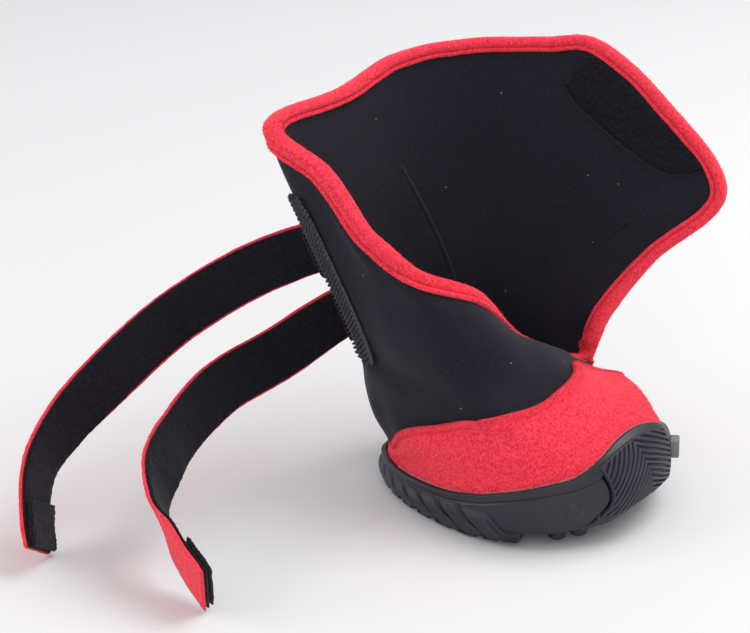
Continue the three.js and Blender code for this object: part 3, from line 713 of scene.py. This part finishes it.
for n, (turn, inset) in enumerate(stud["places"]):
    spot = soleEdge(turn, -inset, 0)
    lift = springAt(spot.x)
    made = roundStud(f"stud{n + 1}", spot.x, spot.y, stud["radius"], max(0, lift - stud["below"]),
                     stud["top"] + lift)
    finished(made, blueRubber)
for n, (x, radius) in enumerate(restLug["places"]):
    finished(roundStud(f"restLug{n + 1}", x, 0, radius, 0, restLug["top"]), blueRubber)

# one lug on the far side of the toe, painted pale grey-green: a painted highlight for the backdrop's light
# catching the dark rubber's side
sideLug = {"turn": 27, "up": 17, "along": 2.4, "tall": 5.6, "proud": 2.2, "round": 0.5}
lugU = uAt(sideLug["turn"])
lugV = vAtHeight(lugU, sideLug["up"])
lugOut = normalAt(lugU, lugV)
lugOut.z = 0
lugOut.normalize()
lugFrom = panelRoom(sideLug["turn"]) + 1
lugTo = panelRoom(sideLug["turn"]) + outsole["wall"] + outsole["padProud"] + sideLug["proud"]
lugMiddle = surface(lugU, lugV) + lugOut * (lugFrom + lugTo) / 2
bpy.ops.mesh.primitive_cube_add(
    size=1, location=lugMiddle * mm, rotation=(0, 0, math.atan2(lugOut.y, lugOut.x)),
    scale=((lugTo - lugFrom) * mm, 2 * sideLug["along"] * mm, sideLug["tall"] * mm))
lug = bpy.context.object
lug.name = "sideLug"
bpy.ops.object.transform_apply(location=True, rotation=True, scale=True)
applied(lug, "BEVEL", width=sideLug["round"] * mm, segments=3)
finished(lug, lugRubberPaintedRimLight)
print("sole made")

# upper: one skin of foam fabric with its soft folds, then its thickness
upperLook = {"columns": 260, "rows": 80, "heelFill": 1.6, "smoothBefore": 40, "smoothAfter": 8}
folds = [  # from, to, half width, height of the ridge or depth of the trough, all in millimetres
    ((-40, -24, 44), (-18, -30, 40), 7, -1.2),
    ((-47, -16, 56), (-30, -28, 52), 6, 0.9),
    ((-10, -28, 40), (8, -20, 44), 6, -0.9),
    ((-30, -29, 60), (-14, -28, 52), 7, 0.8),
    ((-52, -14, 40), (-48, -20, 66), 6, -0.8),
    ((6, 12, 40), (14, -4, 42), 5, 0.9),
    ((-48, 8, 44), (-38, 22, 48), 6, -1.0),
    ((-20, 34, 56), (-4, 40, 66), 8, 0.9),
    ((-50, 14, 78), (-40, 30, 96), 10, 0.9),
    ((-30, 40, 84), (-14, 45, 80), 9, -0.8),
]
foldLines = [(Vector(a), Vector(b) - Vector(a), width, height) for a, b, width, height in folds]


def foldRelief(point):
    total = 0.0
    for start, run, width, height in foldLines:
        f = min(max((point - start).dot(run) / run.length_squared, 0), 1)
        gap = (point - start - run * f).length
        if gap < width:
            total += height * bumpAt(gap, width)
    return total


def upperAt(s, t):
    u = 1 - s
    point = surface(u, t)
    soft = foldRelief(point) + 0.22 * fuzz(point, 17) + 0.08 * fuzz(point, 6, 3)
    side = abs(foldTurn(turnAt(u)))
    full = upperLook["heelFill"] * ease(132, 144, side) * (1 - ease(158, 168, side))
    full *= ease(6.5, 9, point.z) * (1 - ease(20, 36, point.z))  # only low down beside the heel
    return point + normalAt(u, t) * (soft * ease(0.12, 0.3, t) * (1 - 0.8 * ease(0.93, 1, t)) + full)


upper = drape("upperShell", upperLook["columns"], upperLook["rows"], upperAt, closed=True)
shaftGroup = upper.vertex_groups.new(name="shaft")
for vert, spot in zip(upper.data.vertices, mapOf(upper)):
    t = spot[1] if spot else 0
    shaftGroup.add([vert.index], ease(0.5, 0.62, t) * (1 - ease(0.93, 0.985, t)), "REPLACE")
# the shaft is relaxed before it gets its wall, so that the tight bends don't fold over inside
applied(upper, "SMOOTH", factor=0.5, iterations=upperLook["smoothBefore"], vertex_group="shaft")
applied(upper, "SOLIDIFY", thickness=wallThickness * mm, offset=-1, use_even_offset=False)
applied(upper, "SMOOTH", factor=0.5, iterations=upperLook["smoothAfter"], vertex_group="shaft")
finished(upper, foamFabric, ["upper"])

# toe panel: a brushed crescent with a turned and stitched top edge
toePanel = {
    "end": 152, "tuck": 2.2, "out": 1.9, "columns": 470, "rows": 64, "thickness": 1.5, "hem": 2.3,
    "hemProud": 0.35, "groove": 0.75, "nap": 0.1, "swell": 0.75, "swellHalf": 4,
}


def panelPlace(s, t):
    turn = mix(-toePanel["end"], toePanel["end"], s)
    u = uAt(turn)
    low = vAtHeight(u, lineAt(rimLine, turn) - toePanel["tuck"])
    high = vAtHeight(u, lineAt(panelLine, turn))
    tall = (surface(u, high) - surface(u, low)).length
    v = mix(low, high, t)
    point = surface(u, v)
    fromTop = (surface(u, high) - point).length
    ends = min(1 - abs(turn) / toePanel["end"], 0.03) / 0.03
    edge = min(fromTop / 1.3, 1.0) * ends
    off = toePanel["out"] * (0.25 + 0.75 * (1 - (1 - edge) ** 2) ** 0.5)
    hem = 1 - ease(toePanel["hem"] - 0.9, toePanel["hem"] + 0.2, fromTop) if tall > 8 else 0.0
    groove = toePanel["groove"] * bumpAt(fromTop - toePanel["hem"] - 0.1, 0.8) if tall > 8 else 0.0
    nap = toePanel["nap"] * (fuzz(point, 0.75) + 0.5 * fuzz(point, 1.6, 5))
    soft = 0.16 * fuzz(point, 12, 2) * ease(0, 0.25, t)
    swell = toePanel["swell"] * bumpAt(point.z - lineAt(rimLine, turn), toePanel["swellHalf"]) * ends
    return point + normalAt(u, v) * (off + toePanel["hemProud"] * hem - groove + nap + soft + swell)


panel = drape("toePanel", toePanel["columns"], toePanel["rows"], panelPlace)
applied(panel, "SOLIDIFY", thickness=toePanel["thickness"] * mm, offset=-1)
finished(panel, redFleece, ["toe_panel"])

# edge tape: a fleece fold over the whole free edge, with a stitched groove near its inner margin
tape = {"columns": 900, "around": 50, "nap": 0.12, "waver": 0.25, "middle": 1.6}
tapeSection = [  # depth in from the free edge, distance outside the outer face
    (4.1, -0.4), (4.25, 0.4), (3.8, 0.95), (3.2, 1.0), (2.8, 0.7), (2.55, 0.2), (2.3, 0.7), (1.7, 1.15),
    (0.8, 1.35), (0.0, 1.3), (-0.7, 0.9), (-1.15, 0.0), (-1.3, -1.5), (-1.15, -3.0), (-0.7, -3.9),
    (0.0, -4.3), (0.7, -4.4), (1.3, -4.2), (1.65, -3.8), (1.85, -3.2), (2.05, -3.75), (2.4, -4.0),
    (2.9, -4.0), (3.3, -3.5), (3.2, -2.6),
]
tapeProfile = curvePieces([Vector((depth, off, 0)) for depth, off in tapeSection], True)
inwardWays = {}


def wayIn(u, depth):  # how far down the map lies a place this many millimetres in from the free edge
    key = round(u, 6)
    if key not in inwardWays:
        total, last, way = 0.0, surface(u, 1), [(0.0, 1.0)]
        while total < 5.5:
            v = way[-1][1] - 0.012
            here = surface(u, v)
            total += (here - last).length
            way.append((total, v))
            last = here
        inwardWays[key] = way
    way = inwardWays[key]
    k = next(n for n in range(1, len(way)) if way[n][0] >= depth)
    (a, high), (b, low) = way[k - 1], way[k]
    return mix(high, low, (depth - a) / (b - a))


def edgePlace(u, depth, off):  # a place beside the free edge, from its depth and its distance outside
    u %= 1.0
    if depth > 0:
        v = wayIn(u, depth)
        return surface(u, v) + normalAt(u, v) * off
    return surface(u, 1) + normalAt(u, 1) * off + inwardAt(u) * depth


def tapePlace(s, t):
    u = 1 - s
    spot = onCurve(tapeProfile, t, True)
    edge = surface(u, 1)
    depth = spot.x + tape["waver"] * fuzz(edge, 9, 1) * (0.4 if spot.x < 0 else 1)
    point = edgePlace(u, depth, spot.y)
    middle = edgePlace(u, tape["middle"], -wallThickness / 2)
    out = (point - middle).normalized()
    grain = tape["nap"] * (fuzz(point, 0.7) + 0.5 * fuzz(point, 1.5, 4)) + 0.08 * fuzz(point, 6, 6)
    return point + out * grain


tapeEdge = drape("edgeTape", tape["columns"], tape["around"], tapePlace, closed=True)
pickOnly(tapeEdge)
bpy.ops.object.mode_set(mode="EDIT")
bpy.ops.mesh.select_all(action="SELECT")
bpy.ops.mesh.normals_make_consistent(inside=False)
bpy.ops.object.mode_set(mode="OBJECT")
finished(tapeEdge, redFleece, ["binding"])

# fleece fibres: tiny closed spikes, too many and too thin to model by hand, so their mesh is written out
fibre = {
    "length": 0.75, "width": 0.05, "lean": 0.9, "root": 0.1, "seed": 7,
    "onTape": 13000, "onPanel": 11000, "onRim": 4200, "rimLength": 0.8,
}


def spikes(name, count, spotOf, long=1.0):
    dice = random.Random(fibre["seed"])
    points, faces = [], []
    for n in range(count):
        base, out = spotOf(dice.random(), dice.random())
        aim = (out + Vector([dice.uniform(-1, 1) for k in range(3)]) * fibre["lean"]).normalized()
        sideways = aim.orthogonal().normalized()
        third = aim.cross(sideways)
        length = long * fibre["length"] * dice.uniform(0.35, 1.0)
        corner = len(points)
        for k in range(3):
            angle = math.radians(120 * k)
            rim = sideways * math.cos(angle) + third * math.sin(angle)
            points.append((base - aim * fibre["root"] + rim * fibre["width"]) * mm)
        points.append((base + aim * length) * mm)
        faces += [(corner + 2, corner + 1, corner), (corner, corner + 1, corner + 3),
                  (corner + 1, corner + 2, corner + 3), (corner + 2, corner, corner + 3)]
    mesh = bpy.data.meshes.new(name)
    mesh.from_pydata(points, [], faces)
    made = bpy.data.objects.new(name, mesh)
    bpy.context.collection.objects.link(made)
    return made


def tapeSpot(s, t):
    point = tapePlace(s, t)
    u = 1 - s
    return point, (point - edgePlace(u, tape["middle"], -wallThickness / 2)).normalized()


def panelSpot(s, t):
    t = t if t < 0.6 else 1 - 0.1 * ((1 - t) / 0.4) ** 2
    u = uAt(mix(-toePanel["end"], toePanel["end"], s))
    return panelPlace(s, t), normalAt(u, vAtHeight(u, 30))


def rimSpot(s, t):  # a pale ragged line where the panel goes down behind the rubber
    turn = mix(-132, 132, s)
    u = uAt(turn)
    v = vAtHeight(u, lineAt(rimLine, turn) - 0.25 + 0.5 * t)
    return skin(u, v, panelRoom(turn) + 0.2), normalAt(u, v)


finished(spikes("tapeFibres", fibre["onTape"], tapeSpot), redFibre)
finished(spikes("panelFibres", fibre["onPanel"], panelSpot), redFibre)
finished(spikes("rimFibres", fibre["onRim"], rimSpot, fibre["rimLength"]), paleFibre)
print("upper, toe panel, edge tape and their fibres made")

# hook strip down the back of the near panel, with rows of slanted hooks between plain margins
stripFold = (next(k for k, row in enumerate(shaftFolds) if row[0] == -148) + 0.25) / foldCount
hookStrip = {
    "width": 16, "ahead": 14.5, "from": 43, "to": 93, "thickness": 1.2, "off": 0.75, "margin": 0.13,
    "rowPitch": 1.5, "slant": 0.55, "hookPitch": 0.8, "hookTall": 1.2, "rise": 1.08,
}


def besideStrip(z, across):  # a place on the skin beside the strip's own line, and the directions there
    v = vAtHeight(stripFold, z)
    centre = surface(stripFold, v)
    line = (surface(stripFold, v + 0.02) - surface(stripFold, v - 0.02)).normalized()
    normal = normalAt(stripFold, v)
    back = normal.cross(line).normalized()
    return nearest(centre + back * across, stripFold, v), line, back, normal


def stripPlace(s, t):
    up = mix(hookStrip["from"], hookStrip["to"], t)
    u, v = besideStrip(up, s * hookStrip["width"] - hookStrip["ahead"])[0]
    return skin(u, v, hookStrip["off"])


def hookRelief(s, t, point, normal):
    x, y = s * hookStrip["width"], t * (hookStrip["to"] - hookStrip["from"]) * hookStrip["rise"]
    margin = hookStrip["margin"]
    inside = ease(margin - 0.02, margin, s) * ease(1 - margin + 0.02, 1 - margin, s)
    cycle = ((y + hookStrip["slant"] * x) / hookStrip["rowPitch"]) % 1
    cross = (x / hookStrip["hookPitch"]) % 1
    hooks = bumpAt(cycle - 0.5, 0.4) * (0.7 + 0.3 * bumpAt(cross - 0.5, 0.5))
    selvage = 0.18 * (1 - inside) + 0.1 * bumpAt(abs(s - 0.5) - 0.5 + margin * 0.55, 0.02)
    edge = min(s, 1 - s) * hookStrip["width"]
    roundOff = 0.5 * (1 - min(edge / 0.6, 1)) ** 2
    return hookStrip["hookTall"] * inside * hooks + selvage + 0.1 * fuzz(point, 0.6) - roundOff


strip = drape("hookStrip", 4, 13, stripPlace, smooth=4)
if strip.data.polygons[0].normal.dot(normalAt(stripFold, 0.7)) < 0:
    strip.data.flip_normals()
press(strip, hookRelief)
applied(strip, "SOLIDIFY", thickness=hookStrip["thickness"] * mm, offset=-1)
finished(strip, hookWeave, ["hook_strip"])

# loop patch inside the flap
patch = {
    "length": 50, "width": 14.5, "thickness": 1.2, "off": 0.9, "cornerCut": 0.3,
    "inner": [(0.71, 0.8066), (0.764, 0.7775), (0.8225, 0.7877)],
    "outer": [(0.742, 0.884), (0.785, 0.872), (0.8265, 0.93)],
}  # inner and outer are its long edges as places on the flap


def bowed(ends, s):  # a bow through three places
    a, b, c = ends
    pull = [2 * b[k] - (a[k] + c[k]) / 2 for k in (0, 1)]
    return [mix(mix(a[k], pull[k], s), mix(pull[k], c[k], s), s) for k in (0, 1)]


def patchPlace(s, t):
    cut = patch["cornerCut"] if (round(s, 3) == 1.0 and round(t, 3) == 0.0) else 0.0
    s, t = mix(s, 0.5, cut * 0.2), mix(t, 0.5, cut * 0.8)
    low, high = bowed(patch["inner"], s), bowed(patch["outer"], s)
    return skin(mix(low[0], high[0], t), mix(low[1], high[1], t), -wallThickness - patch["off"])


def pileRelief(s, t, point, normal):
    edge = min(min(s, 1 - s) * patch["length"], min(t, 1 - t) * patch["width"])
    nap = 0.3 * (fuzz(point, 0.75) + 0.7 * fuzz(point, 1.7, 9))
    seam = 0.6 * bumpAt(t * patch["width"] - 1.1, 0.5)
    roundOff = 0.7 * (1 - min(edge / 0.8, 1)) ** 2
    return nap * ease(0.6, 1.5, edge) - roundOff + 0.35 * ease(1.6, 2.6, edge) - seam


loopPatch = drape("loopPatch", 12, 4, patchPlace, smooth=4)
if loopPatch.data.polygons[400].normal.dot(normalAt(0.77, 0.83)) > 0:  # its face looks into the shaft
    loopPatch.data.flip_normals()
press(loopPatch, pileRelief)
applied(loopPatch, "SOLIDIFY", thickness=patch["thickness"] * mm, offset=-1)
finished(loopPatch, blackPile, ["loop_patch"])

# reinforcement patch sewn inside the back of the shaft
backPatch = {
    "low": 0.5, "left": (0.455, 0.485), "right": (0.64, 0.5675), "top": (0.712, 0.7358), "off": 0.45,
    "thickness": 0.5, "wide": 34, "tall": 40, "cells": 96,
}


def backPatchPlace(s, t):
    u = mix(mix(*backPatch["left"], t), mix(*backPatch["right"], t), s)
    v = mix(backPatch["low"], mix(*backPatch["top"], s), t)
    edge = min(s * backPatch["wide"], (1 - s) * backPatch["wide"], (1 - t) * backPatch["tall"])
    stitch = 0.3 * bumpAt(edge - 1.5, 0.5)
    return skin(u, v, -wallThickness - backPatch["off"] + 0.3 * (1 - min(edge / 0.8, 1)) ** 2 + stitch)


backing = drape("backPatch", backPatch["cells"], backPatch["cells"], backPatchPlace)
applied(backing, "SOLIDIFY", thickness=backPatch["thickness"] * mm, offset=0)
finished(backing, linedFoam)
print("hook strip and patches made")

# straps: a loop pile face on a red fleece lining, each with a hook tab at its tip
strap = {
    "width": 16, "thickness": 2.4, "steps": 210, "around": 52, "tabFrom": 0.84, "tabTo": 0.995,
    "tabThickness": 1.3, "tabWidth": 15.4, "tabSteps": 60,
}
strapRows = {  # x, y, z of the centre line, heading and rise of the width
    "upper": (73.5, [(-75.5, -33, 66, 195, 59), (-92, -50, 53.5, 190, 50), (-96, -72, 44.5, 206, 47),
                     (-100, -92, 33, 250, 41), (-100, -104, 24, 275, 36), (-96, -111.5, 13, 287, 26),
                     (-91.5, -116, 5, 294, 22)]),
    "lower": (51.5, [(-66, -35, 41.5, 191, 59), (-71, -55, 37.5, 214, 52), (-69.5, -76, 32, 256, 41),
                     (-64, -92, 27.5, 272, 28), (-58.5, -100, 22, 300, 28), (-49.5, -105, 16.5, 322, 40),
                     (-41, -108.5, 12, 322, 55), (-32.2, -112, 8.8, 316, 64)]),
}


def strapFrame(rootUp, rows):
    (u, v), line, back, normal = besideStrip(rootUp, hookStrip["width"] - hookStrip["ahead"] + 0.7)
    root = skin(u, v, 0.3 + strap["thickness"] / 2 + 0.85)
    centres = [root, root + back * 5 + normal * 0.4] + [Vector(row[:3]) for row in rows]
    aims = [line, line]
    for row in rows:
        heading, rise = math.radians(row[3]), math.radians(row[4])
        flat = math.cos(rise)
        aims.append(Vector((flat * math.cos(heading), flat * math.sin(heading), math.sin(rise))))
    centreSpans, aimSpans = curvePieces(centres), curvePieces(aims)

    def at(t):
        ahead, behind = onCurve(centreSpans, min(t + 1e-3, 1)), onCurve(centreSpans, max(t - 1e-3, 0))
        tangent = (ahead - behind).normalized()
        across = onCurve(aimSpans, t)
        across = (across - tangent * across.dot(tangent)).normalized()
        return onCurve(centreSpans, t), across, across.cross(tangent).normalized()

    return at


def layer(name, frameAt, start, end, width, low, high, nap, steps):
    # a closed flat tube: s runs along the strap, t round its section
    def at(s, t):
        centre, across, out = frameAt(mix(start, end, s))
        ends = min(s, 1 - s) * (end - start) * 140
        shrink = 1 - 0.5 * (1 - min(ends / 0.9, 1)) ** 2
        around = 2 * math.pi * t
        c, d = math.cos(around), math.sin(around)
        a = math.copysign(abs(c) ** 0.32, c) * width / 2
        o = (low + high) / 2 + math.copysign(abs(d) ** 0.55, d) * (high - low) / 2 * shrink
        point = centre + across * a + out * o
        grain = nap * (fuzz(point, 0.8) + 0.6 * fuzz(point, 1.9, 7)) + 0.15 * fuzz(point, 7, 8)
        return point + (out * (1 if o > (low + high) / 2 else -1) + across * c * 0.6) * grain

    made = drape(name, steps, strap["around"], at, closed=True, fillEnds=True)
    pickOnly(made)
    bpy.ops.object.mode_set(mode="EDIT")
    bpy.ops.mesh.select_all(action="SELECT")
    bpy.ops.mesh.normals_make_consistent(inside=False)
    bpy.ops.object.mode_set(mode="OBJECT")
    return made


for which, (rootUp, rows) in strapRows.items():
    at = strapFrame(rootUp, rows)
    half = strap["thickness"] / 2
    face = layer(f"{which}StrapFace", at, 0, 1, strap["width"] - 0.6, -0.25, half, 0.16, strap["steps"])
    finished(face, blackPile, [f"strap_{which}"])
    lining = layer(f"{which}StrapLining", at, 0, 1, strap["width"] + 0.5, -half, 0.1, 0.12, strap["steps"])
    finished(lining, redFleece)
    tab = layer(f"{which}StrapTab", at, strap["tabFrom"], strap["tabTo"], strap["tabWidth"], half + 0.05,
                half + 0.3 + strap["tabThickness"], 0.3, strap["tabSteps"])
    finished(tab, blackPile, [f"tab_{which}"])
insole = nodeObjects["insole"]
insole.data.materials.clear()
insole.data.materials.append(bedFoam)
print("straps and tabs made")
